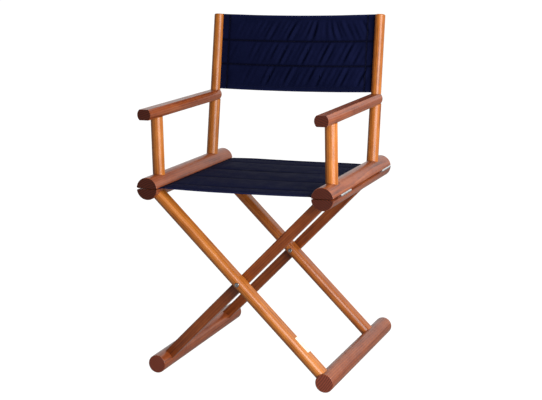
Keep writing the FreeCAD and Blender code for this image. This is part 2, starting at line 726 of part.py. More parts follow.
def back_slab(name, inner_x, width, thick, side):
    """A flat piece of the back cloth in the plane of the back posts."""
    slab = box(name, width, thick, "dims.back_cloth_high")
    x = inner_x if side > 0 else f"-1 * ({inner_x}) - {width}"
    y = "dims.back_post_y + dims.back_cloth_low * sin(dims.recline_angle)"
    y += f" - {thick} / 2 * cos(dims.recline_angle)"
    z = "dims.seat_height + dims.back_cloth_low * cos(dims.recline_angle)"
    z += f" + {thick} / 2 * sin(dims.recline_angle)"
    return put(slab, x, y, z, X_AXIS, "-1 * dims.recline_angle")


def slings(side_name):
    """One half of the seat sling and one half of the back sling."""
    side = SIDES[side_name]
    name = f"seat_sling_{side_name}"
    wide = "(dims.seat_fold_x - dims.half_room)"
    half = box(name, wide, "dims.seat_length", "dims.cloth_thick")
    x = "dims.half_room" if side > 0 else "-1 * dims.seat_fold_x"
    put(half, x, "dims.seat_front", "dims.seat_height - dims.cloth_thick / 2")
    finished(half, name)
    name = f"back_sling_{side_name}"
    wide = "(dims.back_fold_x - dims.half_room)"
    finished(back_slab(name, "dims.half_room", wide, "dims.cloth_thick", side), name)


# ---------------------------------------------------------------- pivots and plate
def pivot(where):
    """A crossing's bolt, spacer washer and cap nut."""
    head = "dims.bolt_head_radius"
    depth = "dims.bolt_head_depth"
    leg_front = f"({CROSS_Y[where]} - dims.leg_gap / 2 - dims.leg_depth)"
    length = "(2 * dims.leg_depth + dims.leg_gap)"
    nut_start = f"({length} - {depth})"
    name = f"pivot_bolt_{where}"
    bolt = turned(
        f"{name}_turned",
        [
            ("0", "0"),
            (f"{head} - 1", "0", (f"{head} - 1", "1")),
            (head, "1"),
            (head, depth),
            ("dims.bolt_radius", depth),
            ("dims.bolt_radius", f"{nut_start} + 2"),
            ("0", f"{nut_start} + 2"),
        ],
    )
    put(bolt, "0", leg_front, PIVOT_HEIGHT, X_AXIS, "-90")
    socket = doc.addObject("Part::Prism", f"{name}_socket")
    socket.Polygon = 6
    bind(socket, Circumradius="dims.bolt_radius * 0.6", Height="3.5")
    put(socket, "0", f"{leg_front} - 1", PIVOT_HEIGHT, X_AXIS, "-90")
    finished(cut(name, bolt, [socket]), name)

    name = f"pivot_nut_{where}"
    nut = turned(
        f"{name}_turned",
        [
            ("0", "0"),
            (head, "0"),
            (head, f"{depth} - 1", (f"{head} - 1", f"{depth} - 1")),
            (f"{head} - 1", depth),
            ("0", depth),
        ],
    )
    put(nut, "0", f"{leg_front} + {nut_start}", PIVOT_HEIGHT, X_AXIS, "-90")
    thread = bar_y(f"{name}_thread", "dims.bolt_radius", "3", "0",
                   f"{leg_front} + {nut_start} - 1", PIVOT_HEIGHT)
    finished(cut(name, nut, [thread]), name)

    name = f"pivot_washer_{where}"
    start = f"{CROSS_Y[where]} - dims.leg_gap / 2"
    disc = bar_y(f"{name}_disc", "dims.washer_radius", "dims.washer_thick", "0", start,
                 PIVOT_HEIGHT)
    bore = bar_y(f"{name}_bore", "dims.bolt_radius + dims.bolt_fit", 10, "0", f"{start} - 5",
                 PIVOT_HEIGHT)
    finished(cut(name, disc, [bore]), name)


def blank_plate():
    """A small plain plate on the upper edge of the front leg from the left rail."""
    plate = box("blank_plate", "dims.plate_thick", "dims.plate_width", "dims.plate_length")
    start = "(dims.plate_along - dims.plate_length / 2)"
    sine = f"{LEG_SPREAD} / {LEG_LENGTH}"
    cosine = f"{LEG_DROP} / {LEG_LENGTH}"
    lift = "(dims.leg_width / 2 + dims.plate_thick)"
    x = f"-1 * dims.half_spacing + {start} * {sine} + {lift} * {cosine}"
    z = f"dims.seat_height - {start} * {cosine} + {lift} * {sine}"
    y = f"{leg_base('left', 'front')} - dims.leg_edge - 1 - dims.plate_width"
    finished(put(plate, x, y, z, Y_AXIS, LEG_TURN), "blank_plate")


# ---------------------------------------------------------------- the whole chair
def fittings(side_name):
    """The leaves, pins and screws of the two hinges on one side."""
    side = SIDES[side_name]
    for half_name, half in (("upper", 1), ("lower", -1)):
        leaves = [
            hinge_leaf(f"hinge_{half_name}_{side_name}_{where}", side, where, half)
            for where in HINGE_Y
        ]
        name = f"hinge_{half_name}_leaves_{side_name}"
        finished(group(name, leaves), name)
        screws = [
            hinge_screw(f"screw_{half_name}_{side_name}_{where}{place + 2}", side, where, place,
                        half)
            for where in HINGE_Y
            for place in SCREWS
        ]
        name = f"hinge_{half_name}_screws_{side_name}"
        finished(group(name, screws), name)
    pins = [
        bar_y(f"pin_{side_name}_{where}", "dims.pin_radius", "dims.hinge_length",
              hinge_axis(side), f"{HINGE_Y[where]} - dims.hinge_length / 2", "dims.seat_height")
        for where in HINGE_Y
    ]
    finished(group(f"hinge_pins_{side_name}", pins), f"hinge_pins_{side_name}")


for side_name in SIDES:
    upper_rail(side_name)
    lower_rail(side_name)
    foot_rail(side_name)
    front_post(side_name)
    back_post(side_name)
    armrest(side_name)
    for where in CROSS_Y:
        leg(side_name, where)
    fittings(side_name)
    seat_edge(side_name)
    back_edge(side_name)
    slings(side_name)
for where in CROSS_Y:
    pivot(where)
blank_plate()

doc.recompute()
for thing in doc.Objects:
    if {"Invalid", "Error"} & set(thing.State):
        raise RuntimeError(f"{thing.Label} failed: {thing.State}")
for thing in nodes:
    shape = thing.Shape
    if shape.isNull() or not shape.isValid() or not shape.Solids:
        raise RuntimeError(f"{thing.Label} has no valid solid")
    shape.exportStep(f"parts/{thing.Label}.step")
    print(f"{thing.Label}: {len(shape.Solids)} solid(s), {shape.Volume / 1000:.2f} cm3")
print(f"{len(nodes)} sub-parts; pivot height {value(PIVOT_HEIGHT):.3f}")
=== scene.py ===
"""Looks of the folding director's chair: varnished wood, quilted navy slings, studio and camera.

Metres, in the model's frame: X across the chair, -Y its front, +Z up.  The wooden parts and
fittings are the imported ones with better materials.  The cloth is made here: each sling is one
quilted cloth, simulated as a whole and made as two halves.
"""
import json
import math

import bpy
import numpy as np
from mathutils import Matrix, Vector


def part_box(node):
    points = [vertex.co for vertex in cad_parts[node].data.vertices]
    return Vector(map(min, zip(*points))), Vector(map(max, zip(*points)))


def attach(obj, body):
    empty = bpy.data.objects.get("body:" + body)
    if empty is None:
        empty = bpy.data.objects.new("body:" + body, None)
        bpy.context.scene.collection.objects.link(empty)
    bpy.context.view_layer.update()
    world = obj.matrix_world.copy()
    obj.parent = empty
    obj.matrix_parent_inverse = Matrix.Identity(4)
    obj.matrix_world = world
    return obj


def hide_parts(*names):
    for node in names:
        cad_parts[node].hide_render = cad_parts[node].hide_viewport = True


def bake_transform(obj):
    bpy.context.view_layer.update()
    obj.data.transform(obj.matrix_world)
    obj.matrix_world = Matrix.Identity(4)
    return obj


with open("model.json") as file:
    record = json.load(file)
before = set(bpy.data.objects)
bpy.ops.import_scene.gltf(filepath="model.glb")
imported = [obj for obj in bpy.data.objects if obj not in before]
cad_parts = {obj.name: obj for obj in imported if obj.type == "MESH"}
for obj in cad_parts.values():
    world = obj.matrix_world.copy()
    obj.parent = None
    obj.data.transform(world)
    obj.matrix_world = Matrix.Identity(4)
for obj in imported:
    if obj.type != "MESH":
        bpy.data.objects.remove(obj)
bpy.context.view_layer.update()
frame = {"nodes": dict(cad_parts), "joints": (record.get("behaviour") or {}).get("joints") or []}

MM = 0.001
SIDES = {"left": -1, "right": 1}
CLOTH_MAP = "cloth"             # the cloth's flat coordinates, in metres
WORLD_FRONT = 0.07              # brightness of the surroundings in front of the chair
WORLD_BACK = 0.9                # and behind it
JOINTS = {joint["name"]: joint for joint in frame["joints"]}


# ---------------------------------------------------------------- node trees
class Paint:
    """A node material under construction: short calls that add a node and give its output."""

    def __init__(self, name):
        self.material = bpy.data.materials.new(name)
        self.material.use_nodes = True
        self.tree = self.material.node_tree
        self.surface = self.tree.nodes["Principled BSDF"]

    def plug(self, socket, value):
        """Set a socket, or link it if the value is another node's output."""
        if isinstance(value, bpy.types.NodeSocket):
            self.tree.links.new(value, socket)
        else:
            socket.default_value = value

    def add(self, kind, inputs, output=0, **settings):
        """A node of a kind, its inputs by name or number, and the output that is wanted."""
        made = self.tree.nodes.new(f"ShaderNode{kind}")
        for name, value in settings.items():
            setattr(made, name, value)
        for name, value in inputs.items():
            self.plug(made.inputs[name], value)
        return made.outputs[output]

    def sum(self, operation, first, second=0.0, third=0.0):
        """One step of arithmetic."""
        return self.add("Math", {0: first, 1: second, 2: third}, operation=operation)

    def remap(self, value, low, high, to_low=0.0, to_high=1.0, kind="SMOOTHSTEP"):
        """A value's range taken to another, without overshoot."""
        inputs = {"Value": value, 1: low, 2: high, 3: to_low, 4: to_high}
        return self.add("MapRange", inputs, interpolation_type=kind)

    def mix(self, share, first, second, blend="MIX"):
        """Two colours mixed."""
        inputs = {0: share, 6: first, 7: second}
        return self.add("Mix", inputs, output=2, data_type="RGBA", blend_type=blend)

    def noise(self, vector, scale, detail=2.0, rough=0.5, output=0):
        """Fractal noise."""
        inputs = {"Vector": vector, "Scale": scale, "Detail": detail, "Roughness": rough}
        return self.add("TexNoise", inputs, output=output)

    def bump(self, height, strength, distance):
        """Relief, plugged into the surface."""
        inputs = {"Height": height, "Strength": strength, "Distance": distance}
        self.plug(self.surface.inputs["Normal"], self.add("Bump", inputs))

    def finish(self, **inputs):
        """Set the surface's own sockets; names are the sockets' names in lower case."""
        sockets = {socket.name.lower().replace(" ", "_"): socket for socket in self.surface.inputs}
        for name, value in inputs.items():
            self.plug(sockets[name], value)
        return self.material


def grey(level):
    """A neutral colour."""
    return (level, level, level, 1.0)


# ---------------------------------------------------------------- materials
def wood(name, grain, pith, pale, mid, dark, ends):
    """Varnished wood whose grain runs along a direction.

    The growth rings are circles round a pith line that lies outside the pieces, so that the
    same pattern gives long figure on the sides and arcs on the ends.
    """
    paint = Paint(name)
    axis = Vector(grain).normalized()
    turn = axis.rotation_difference(Vector((0, 0, 1))).to_euler()
    place = paint.add("TexCoord", {}, output="Object")
    facing = paint.add("TexCoord", {}, output="Normal")
    upright = paint.add("Mapping", {"Vector": place, "Rotation": turn, "Location": pith})
    streaky = paint.add("Mapping", {"Vector": upright, "Scale": (1.0, 1.0, 0.045)})
    broad = paint.add("Mapping", {"Vector": upright, "Scale": (1.0, 1.0, 0.22)})

    bend = paint.noise(broad, 9.0, 2.0, 0.5, output="Color")
    centred = paint.add("VectorMath", {0: bend, 1: (0.5, 0.5, 0.5)}, operation="SUBTRACT")
    sway = paint.add("VectorMath", {0: centred, "Scale": 0.016}, operation="SCALE")
    swayed = paint.add("VectorMath", {0: streaky, 1: sway}, operation="ADD")
    ring_scale = 62.0
    rings = paint.add(
        "TexWave",
        {"Vector": swayed, "Scale": ring_scale, "Distortion": 2.2, "Detail": 3.0,
         "Detail Scale": 0.7, "Detail Roughness": 0.6},
        output=1, wave_type="RINGS", rings_direction="Z", wave_profile="SAW",
    )
    fibres = paint.noise(streaky, 700.0, 3.0, 0.62)
    streaks = paint.noise(streaky, 150.0, 3.0, 0.6)
    patches = paint.noise(broad, 34.0, 2.0, 0.5)
    figure = paint.noise(paint.add("Mapping", {"Vector": upright, "Scale": (1.0, 1.0, 0.6),
                                               "Rotation": (0.5, 0.35, 0.0)}), 75.0, 1.0, 0.4)
    pores = paint.remap(paint.noise(streaky, 1900.0, 1.0, 0.5), 0.62, 0.72)

    tone = paint.sum("MULTIPLY_ADD", rings, 0.26, paint.sum("MULTIPLY", streaks, 0.62))
    tone = paint.sum("MULTIPLY_ADD", patches, 0.55, tone)
    tone = paint.sum("MULTIPLY_ADD", figure, 0.22, tone)
    tone = paint.sum("MULTIPLY_ADD", fibres, 0.1, paint.sum("ADD", tone, 0.04))
    colour = paint.mix(paint.remap(tone, 0.62, 0.92), dark, mid)
    colour = paint.mix(paint.remap(tone, 0.88, 1.22), colour, pale)
    colour = paint.mix(paint.sum("MULTIPLY", pores, 0.25), colour, dark)

    along = paint.add("VectorMath", {0: facing, 1: tuple(axis)}, output=1, operation="DOT_PRODUCT")
    cut_end = paint.remap(paint.sum("ABSOLUTE", along), 0.86, 0.97)
    end_lines = paint.remap(rings, 0.15, 0.85, 0.6, 1.25)
    end_colour = paint.add("VectorMath", {0: ends[:3], "Scale": end_lines}, operation="SCALE")
    colour = paint.mix(cut_end, colour, end_colour)

    grip = paint.noise(place, 22.0, 3.0, 0.55)
    rough = paint.remap(grip, 0.3, 0.7, 0.36, 0.46)
    rough = paint.sum("MULTIPLY_ADD", cut_end, 0.5, rough)
    varnish = paint.remap(cut_end, 0.0, 1.0, 0.35, 0.0)
    rough = paint.sum("MULTIPLY_ADD", pores, 0.03, rough)
    paint.bump(streaks, 0.02, 0.05 * MM)
    return paint.finish(base_color=colour, roughness=rough, specular_ior_level=0.35,
                        coat_weight=varnish, coat_roughness=0.24)


def steel(name, dark, light):
    """Brushed stainless steel between two greys: fine scratches, and a few dull patches."""
    paint = Paint(name)
    place = paint.add("TexCoord", {}, output="Object")
    along = paint.add("Mapping", {"Vector": place, "Scale": (1.0, 0.03, 1.0)})
    scratches = paint.noise(along, 3500.0, 3.0, 0.6)
    dull = paint.noise(place, 90.0, 3.0, 0.6)
    colour = paint.mix(paint.remap(dull, 0.35, 0.7), grey(dark), grey(light))
    rough = paint.sum("MULTIPLY_ADD", scratches, 0.16, paint.remap(dull, 0.3, 0.7, 0.16, 0.28))
    paint.bump(scratches, 0.2, 0.05 * MM)
    return paint.finish(base_color=colour, roughness=rough, metallic=1.0)


def plate_finish():
    """Cream lacquer on a thin metal plate, a little rubbed."""
    paint = Paint("plate_lacquer")
    place = paint.add("TexCoord", {}, output="Object")
    rubbed = paint.noise(place, 260.0, 4.0, 0.65)
    colour = paint.mix(paint.remap(rubbed, 0.5, 0.75), (0.86, 0.78, 0.6, 1), (0.66, 0.55, 0.38, 1))
    paint.bump(rubbed, 0.15, 0.1 * MM)
    return paint.finish(base_color=colour, roughness=paint.remap(rubbed, 0.3, 0.7, 0.3, 0.5))


def woven(name, deep, worn, pitch):
    """Plain woven cloth: threads over and under, slubs, and paler worn crests and edges; painted shade
    darkens it towards black along the seams.
    """
    paint = Paint(name)
    flat = paint.add("UVMap", {}, uv_map=CLOTH_MAP)
    along = paint.add("SeparateXYZ", {"Vector": flat}, output="X")
    across = paint.add("SeparateXYZ", {"Vector": flat}, output="Y")
    turns = math.pi / pitch
    warp = paint.sum("SINE", paint.sum("MULTIPLY", along, turns))
    weft = paint.sum("SINE", paint.sum("MULTIPLY", across, turns))
    over = paint.sum("MULTIPLY", warp, weft)
    ribs = paint.sum("ADD", paint.sum("ABSOLUTE", warp), paint.sum("ABSOLUTE", weft))
    relief = paint.sum("MULTIPLY_ADD", over, 0.35, ribs)
    slubs = paint.noise(paint.add("Mapping", {"Vector": flat, "Scale": (0.06, 1.0, 1.0)}), 1500.0)
    patches = paint.noise(flat, 30.0, 3.0, 0.6)
    wear = paint.add("Attribute", {}, output="Fac", attribute_name="wear")
    painted_seam_shade = paint.add("Attribute", {}, output="Fac", attribute_name="painted_seam_shade")
    light = paint.sum("MULTIPLY_ADD", slubs, 0.35, paint.sum("MULTIPLY", patches, 0.3))
    light = paint.sum("MULTIPLY_ADD", over, 0.1, light)
    light = paint.sum("MULTIPLY_ADD", wear, 0.55, light)
    colour = paint.mix(paint.remap(light, 0.15, 1.0, kind="LINEAR"), deep, worn)
    # Painted shade: along the seams the colour darkens to near black, standing in for the shadow in the
    # quilting's creases.
    colour = paint.mix(paint.sum("MULTIPLY", painted_seam_shade, 0.85), colour, (0.001, 0.001, 0.004, 1))
    paint.bump(relief, 0.3, 0.12 * MM)
    return paint.finish(base_color=colour, roughness=paint.remap(patches, 0.3, 0.7, 0.66, 0.8),
                        specular_ior_level=0.02)


def thread():
    """Sewing thread: twisted, as dark as the cloth."""
    paint = Paint("navy_thread")
    place = paint.add("TexCoord", {}, output="Object")
    twist = paint.add("TexWave", {"Vector": place, "Scale": 900.0, "Distortion": 1.5}, output=1,
                      bands_direction="DIAGONAL")
    colour = paint.mix(twist, (0.003, 0.004, 0.014, 1), (0.007, 0.008, 0.026, 1))
    paint.bump(twist, 0.3, 0.1 * MM)
    return paint.finish(base_color=colour, roughness=0.6, specular_ior_level=0.3)


def post_direction():
    """The way the back posts lean, upwards."""
    axis = Vector(JOINTS["back_fold_right"]["axis"]).normalized()
    return axis if axis.z > 0 else -axis


def leg_line(owner):
    """The direction of the legs that start on one rail."""
    low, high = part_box(f"front_leg_from_{owner}")
    return Vector((-SIDES[owner] * (high.x - low.x), 0.0, -(high.z - low.z)))


def dress_frame():
    """Give every packed wooden part and fitting its material."""
    red = ((0.31, 0.08, 0.019, 1), (0.22, 0.046, 0.009, 1), (0.1, 0.017, 0.003, 1))
    brown = ((0.31, 0.078, 0.014, 1), (0.2, 0.041, 0.005, 1), (0.09, 0.014, 0.002, 1))
    amber = ((0.54, 0.188, 0.033, 1), (0.4, 0.117, 0.014, 1), (0.2, 0.047, 0.004, 1))
    # A darker copy of the amber wood, for the rear leg from the left: painted shade where the seat
    # shadows it.
    seat_shaded_amber = ((0.46, 0.145, 0.024, 1), (0.35, 0.088, 0.009, 1), (0.17, 0.034, 0.003, 1))
    red_end = (0.065, 0.009, 0.002, 1)
    foot_end = (0.19, 0.04, 0.02, 1)
    amber_end = (0.25, 0.07, 0.015, 1)
    along_rail = wood("wood_along_rails", (0, 1, 0), (0.031, 0.052, 0.3), *red, red_end)
    along_foot = wood("wood_foot_rails", (0, 1, 0), (0.043, 0.21, 0.06), *red, foot_end)
    upright = wood("wood_upright", (0, 0, 1), (0.05, 0.23, 0.1), *amber, amber_end)
    leaning = wood("wood_leaning", post_direction(), (0.045, -0.09, 0.2), *amber, amber_end)
    legs = {
        owner: wood(f"wood_legs_from_{owner}", leg_line(owner), (0.04, 0.27, 0.13 * side), *tones,
                    amber_end)
        for (owner, side), tones in zip(SIDES.items(), (amber, brown))
    }
    # Painted seat shadow: the rear leg from the left gets the darker copy of the amber wood.
    seat_shaded_rear_leg = wood("wood_rear_leg_from_left", leg_line("left"), (0.05, 0.19, -0.11), *seat_shaded_amber, amber_end)
    brushed = steel("brushed_steel", 0.7, 0.88)
    weathered = steel("weathered_steel", 0.35, 0.5)
    by_name = {
        "upper_rail": along_rail, "lower_rail": along_rail, "foot_rail": along_foot,
        "armrest": along_rail, "front_post": upright, "back_post": leaning,
        "front_leg_from_left": legs["left"], "rear_leg_from_left": seat_shaded_rear_leg,
        "front_leg_from_right": legs["right"], "rear_leg_from_right": legs["right"],
        "hinge": brushed, "pivot": weathered, "seat_rod": brushed, "back_rod": brushed,
        "blank_plate": plate_finish(),
    }
    for name, node in frame["nodes"].items():
        for start, material in by_name.items():
            if name.startswith(start):
                node.data.materials.clear()
                node.data.materials.append(material)


# ---------------------------------------------------------------- cloth
class Sling:
    """One quilted sling: where it lies, its seams and its thickness, as a grid of points.

    Across is the chair's X.  Along is the cloth's other direction, and rise is the side that
    the sitter touches.  The grid has a row at every seam, so that the seams stay crisp.
    """

    def __init__(self, name, origin, along, length, reach, seams, side_seam):
        self.name = name
        self.origin = np.array(origin)
        self.direction = np.array(along)
        self.up = np.cross((1.0, 0.0, 0.0), self.direction)
        self.length = length
        self.reach = reach
        self.hem = 11 * MM
        self.seams = [self.hem, *seams, length - self.hem]
        self.side_seam = side_seam
        self.rows = self.stations(0.0, length, self.seams, edges=True)
        half = self.stations(0.0, reach, [side_seam], edges=False)
        self.columns = np.concatenate([-half[:0:-1], half])

    @staticmethod
    def stations(start, end, seams, edges):
        """Even steps, with closer ones beside seams and at rounded edges."""
        step = 3.2 * MM
        close = np.array([0.0, 0.7, 1.6]) * MM
        special = [seam + way * offset for seam in seams for offset in close for way in (-1, 1)]
        if edges:
            special += [start + offset for offset in close * 0.6]
            special += [end - offset for offset in close * 0.6]
        else:
            special += [start, end]
        even = np.arange(start + step / 2, end, step)
        kept = [value for value in even if min(abs(value - other) for other in special) > 0.6 * step]
        joined = np.unique(np.round(np.concatenate([special, kept]), 7))
        return joined[(joined >= start) & (joined <= end)]

    def points(self, across, along, rise):
        """Frame points of cloth coordinates, all arrays of one shape."""
        flat = self.origin + along[..., None] * self.direction + rise[..., None] * self.up
        return flat + across[..., None] * np.array((1.0, 0.0, 0.0))


def between(values, seams):
    """For each value, 0 at the seams on either side of it and 1 midway between them."""
    seams = np.array(seams)
    index = np.clip(np.searchsorted(seams, values, side="right") - 1, 0, len(seams) - 2)
    low, high = seams[index], seams[index + 1]
    share = np.clip((values - low) / (high - low), 0.0, 1.0)
    return 4 * share * (1 - share)


def gathered(sling, spare, slant, fullness, puff, seed):
    """How far each point of the outer cloth moves when it is sewn down with cloth to spare.

    The cloth is cut larger than the frame of seams that it is sewn to, by spare = (across,
    along), more where fullness is high, so it buckles between the seams.  It starts with
    creases a few millimetres high, leaning by slant (across per along), which then settle.
    Simulated at ten times its size, lying on its face, so that its weight makes it puff.
    """
    across, along = np.meshgrid(sling.columns, sling.rows)
    moved = np.zeros(across.shape + (3,))
    scale = 10.0
    draw = np.random.default_rng(seed)
    channel = between(along, sling.seams)
    row = np.searchsorted(sling.seams, along, side="right")
    middles = (np.array([0.0, *sling.seams]) + np.array([*sling.seams, sling.length])) / 2
    from_middle = along - middles[row]
    share = across / sling.reach
    crest = np.zeros(across.shape)
    for pitch in (16.0, 23.0, 35.0):
        shift = draw.uniform(0, 2 * math.pi, len(middles))[row]
        phase = (across - slant(share, row) * from_middle) / (pitch * MM)
        crest += np.sin(2 * math.pi * phase + shift)
    crest *= 0.3 + 0.7 * np.sin(across / (21 * MM) + 1.9 * row) ** 2
    creases = 2.1 * MM * crest * channel * fullness(share, row)
    creases += draw.normal(0.0, 0.02 * MM, across.shape)
    extra = np.cumsum(np.gradient(sling.columns) * fullness(sling.columns / sling.reach, 1))
    extra -= np.interp(0.0, sling.columns, extra)
    cut_across = across + spare[0] * extra[None, :]
    cut_along = along * (1 + spare[1])
    sewn = np.stack([across, along, creases], axis=-1).reshape(-1, 3) * scale
    cut = np.stack([cut_across, cut_along, creases * 0], axis=-1).reshape(-1, 3) * scale
    row_count, column_count = across.shape
    index = np.arange(row_count * column_count).reshape(across.shape)
    quads = np.stack([index[:-1, :-1], index[:-1, 1:], index[1:, 1:], index[1:, :-1]], axis=-1)
    mesh = bpy.data.meshes.new("cut_cloth")
    mesh.from_pydata(sewn.tolist(), [], quads.reshape(-1, 4).tolist())
    cloth = bpy.data.objects.new("cut_cloth", mesh)
    bpy.context.scene.collection.objects.link(cloth)
    cloth.shape_key_add(name="sewn")
    key = cloth.shape_key_add(name="cut")
    key.data.foreach_set("co", cut.ravel())
    held = np.abs(along[..., None] - np.array(sling.seams)).min(axis=-1) < 1e-6
    held |= (along <= 0.0) | (along >= sling.length)
    held |= np.abs(across) >= sling.reach - 1e-6
    held |= np.isclose(np.abs(across), sling.side_seam)
    group = cloth.vertex_groups.new(name="sewn_down")
    group.add(index[held].tolist(), 1.0, "REPLACE")
    modifier = cloth.modifiers.new("cloth", "CLOTH")
    settings = modifier.settings
    settings.quality = 6
    settings.mass = 0.3
    settings.air_damping = 3.0
    settings.tension_stiffness = settings.compression_stiffness = 30.0
    settings.shear_stiffness = 12.0
    settings.bending_stiffness = 0.1
    settings.vertex_group_mass = "sewn_down"
    settings.rest_shape_key = key
    settings.effector_weights.gravity = puff
    scene = bpy.context.scene
    steps = 22
    modifier.point_cache.frame_start = 1
    modifier.point_cache.frame_end = steps
    for step in range(1, steps + 1):
        scene.frame_set(step)
    settled = cloth.evaluated_get(bpy.context.evaluated_depsgraph_get())
    after = np.zeros(len(sewn) * 3)
    settled.data.vertices.foreach_get("co", after)
    scene.frame_set(1)
    bpy.data.objects.remove(cloth)
    bpy.data.meshes.remove(mesh)
    flat = sewn.reshape(-1, 3) * np.array((1.0, 1.0, 0.0))
    moved = (after.reshape(-1, 3) - flat).reshape(moved.shape) / scale
    moved[..., 2] *= -1
    limit = 4 * MM
    moved = limit * np.tanh(moved / limit)
    strip = np.clip((sling.reach - np.abs(across)) / (sling.reach - sling.side_seam), 0.0, 1.0)
    moved *= strip[..., None] ** 2
    print(f"{sling.name}: cloth moved {np.abs(moved[..., 2]).max() / MM:.1f} mm at most, "
          f"{moved[..., 2].std() / MM:.2f} mm spread")
    return moved


def surfaces(sling, thick, crown, front_moved, back_moved, sag, droop, lowest):
    """Frame points of the sitter's side and the far side of the cloth.

    Thick is the cloth's thickness at the seams, and crown what the padding adds on each side
    between them.  Sag gives the height of its middle, droop how far it hangs down along
    itself midway between the rails or posts, and lowest how far the far side may stand out.
    """
    across, along = np.meshgrid(sling.columns, sling.rows)
    from_seam = np.abs(along[..., None] - np.array(sling.seams)).min(axis=-1)
    inside = np.abs(across) < sling.side_seam
    hems = (along < sling.hem) | (along > sling.length - sling.hem)
    from_side = np.abs(sling.side_seam - np.abs(across))
    shape = (1 - np.exp(-from_seam / (4.5 * MM))) * (1 - np.exp(-from_side / (4.5 * MM)))
    half = thick / 2 + np.where(inside & ~hems, crown * shape, 0.0)
    hem_thick = 1.15 * MM
    edge = np.minimum(along, sling.length - along)
    rounded = np.sqrt(np.clip(1 - (1 - np.clip(edge / (1.0 * MM), 0, 1)) ** 2, 0, 1))
    hem_half = np.where(edge < sling.hem - 1e-6, hem_thick, thick / 2) * (0.15 + 0.85 * rounded)
    half = np.where(hems, hem_half, half)
    held_flat = np.clip((sling.reach - np.abs(across)) / (14 * MM), 0.0, 1.0)
    half = np.minimum(half, 0.62 * MM + 3 * MM * held_flat)
    ripple = np.sin(across / (1.5 * MM) + 2.2 * np.sin(across / (31 * MM)))
    from_hem_seams = [np.abs(along - seam) for seam in (sling.hem, sling.length - sling.hem)]
    ripple *= sum(np.exp(-distance / (3.5 * MM)) for distance in from_hem_seams)
    half = half + np.where(inside, 0.22 * MM * ripple, 0.0)
    middle = sag(across, along)
    along = along - droop * (1 - (across / sling.reach) ** 2)
    front = sling.points(across + front_moved[..., 0], along + front_moved[..., 1],
                         middle + half + front_moved[..., 2])
    back = sling.points(across + back_moved[..., 0], along + back_moved[..., 1],
                        np.maximum(middle - half - back_moved[..., 2], -lowest(across)))
    return front, back


def grid_normals(points):
    """Unit normals of a grid of points, towards across x along."""
    by_row = np.gradient(points, axis=0)
    by_column = np.gradient(points, axis=1)
    normal = np.cross(by_column, by_row)
    return normal / np.maximum(np.linalg.norm(normal, axis=-1, keepdims=True), 1e-12)


def half_sling(sling, side_name, front, back, material):
    """The closed mesh of one half of a sling, with normals that run on across the middle."""
    side = SIDES[side_name]
    kept = np.flatnonzero(sling.columns * side >= -1e-9)
    columns = sling.columns[kept]
    count_rows, count_columns = len(sling.rows), len(kept)
    index = np.arange(count_rows * count_columns).reshape(count_rows, count_columns)
    far = index + index.size
    vertices = np.concatenate([front[:, kept].reshape(-1, 3), back[:, kept].reshape(-1, 3)])
    normals = np.concatenate([grid_normals(front)[:, kept].reshape(-1, 3),
                              -grid_normals(back)[:, kept].reshape(-1, 3)])

    def quads(first, second, third, fourth):
        """Faces from four arrays of corners."""
        return np.stack([first, second, third, fourth], axis=-1).reshape(-1, 4)

    smooth = np.concatenate([
        quads(index[:-1, :-1], index[:-1, 1:], index[1:, 1:], index[1:, :-1]),
        quads(far[:-1, :-1], far[1:, :-1], far[1:, 1:], far[:-1, 1:]),
    ])
    hems = np.concatenate([
        quads(index[0, :-1], far[0, :-1], far[0, 1:], index[0, 1:]),
        quads(index[-1, 1:], far[-1, 1:], far[-1, :-1], index[-1, :-1]),
    ])
    ends = np.concatenate([
        quads(index[1:, 0], far[1:, 0], far[:-1, 0], index[:-1, 0]),
        quads(index[:-1, -1], far[:-1, -1], far[1:, -1], index[1:, -1]),
    ])
    faces = np.concatenate([smooth, hems, ends])
    name = f"{sling.name}_cloth_{side_name}"
    mesh = bpy.data.meshes.new(name)
    mesh.from_pydata(vertices.tolist(), [], faces.tolist())
    flat_across, flat_along = np.meshgrid(columns, sling.rows)
    flat = np.stack([flat_across, flat_along], axis=-1).reshape(-1, 2)
    flat = np.concatenate([flat, flat])
    mesh.uv_layers.new(name=CLOTH_MAP).data.foreach_set("uv", flat[faces.ravel()].ravel())
    edge = np.minimum(flat[:, 1], sling.length - flat[:, 1])
    wear = np.exp(-edge / (2.5 * MM))
    mesh.attributes.new("wear", "FLOAT", "POINT").data.foreach_set("value", wear)
    # Painted shade along the quilting seams and the side seams, which the cloth's colour darkens by.
    lines = [np.abs(flat[:, 1] - seam) for seam in sling.seams[1:-1]]
    nearest = np.minimum(np.min(lines, axis=0), np.abs(np.abs(flat[:, 0]) - sling.side_seam))
    painted_seam_shade = np.exp(-((nearest / (2.4 * MM)) ** 2))
    mesh.attributes.new("painted_seam_shade", "FLOAT", "POINT").data.foreach_set("value", painted_seam_shade)
    corner_normals = normals[faces.ravel()].reshape(-1, 4, 3)
    corners = vertices[faces]
    across_face = np.cross(corners[:, 2] - corners[:, 0], corners[:, 3] - corners[:, 1])
    across_face /= np.maximum(np.linalg.norm(across_face, axis=1, keepdims=True), 1e-15)
    flat_from = len(smooth)
    corner_normals[flat_from:] = across_face[flat_from:, None, :]
    mesh.polygons.foreach_set("use_smooth", np.ones(len(faces), bool))
    mesh.normals_split_custom_set(corner_normals.reshape(-1, 3).tolist())
    mesh.materials.append(material)
    mesh.update()
    made = bpy.data.objects.new(name, mesh)
    bpy.context.scene.collection.objects.link(made)
    return made


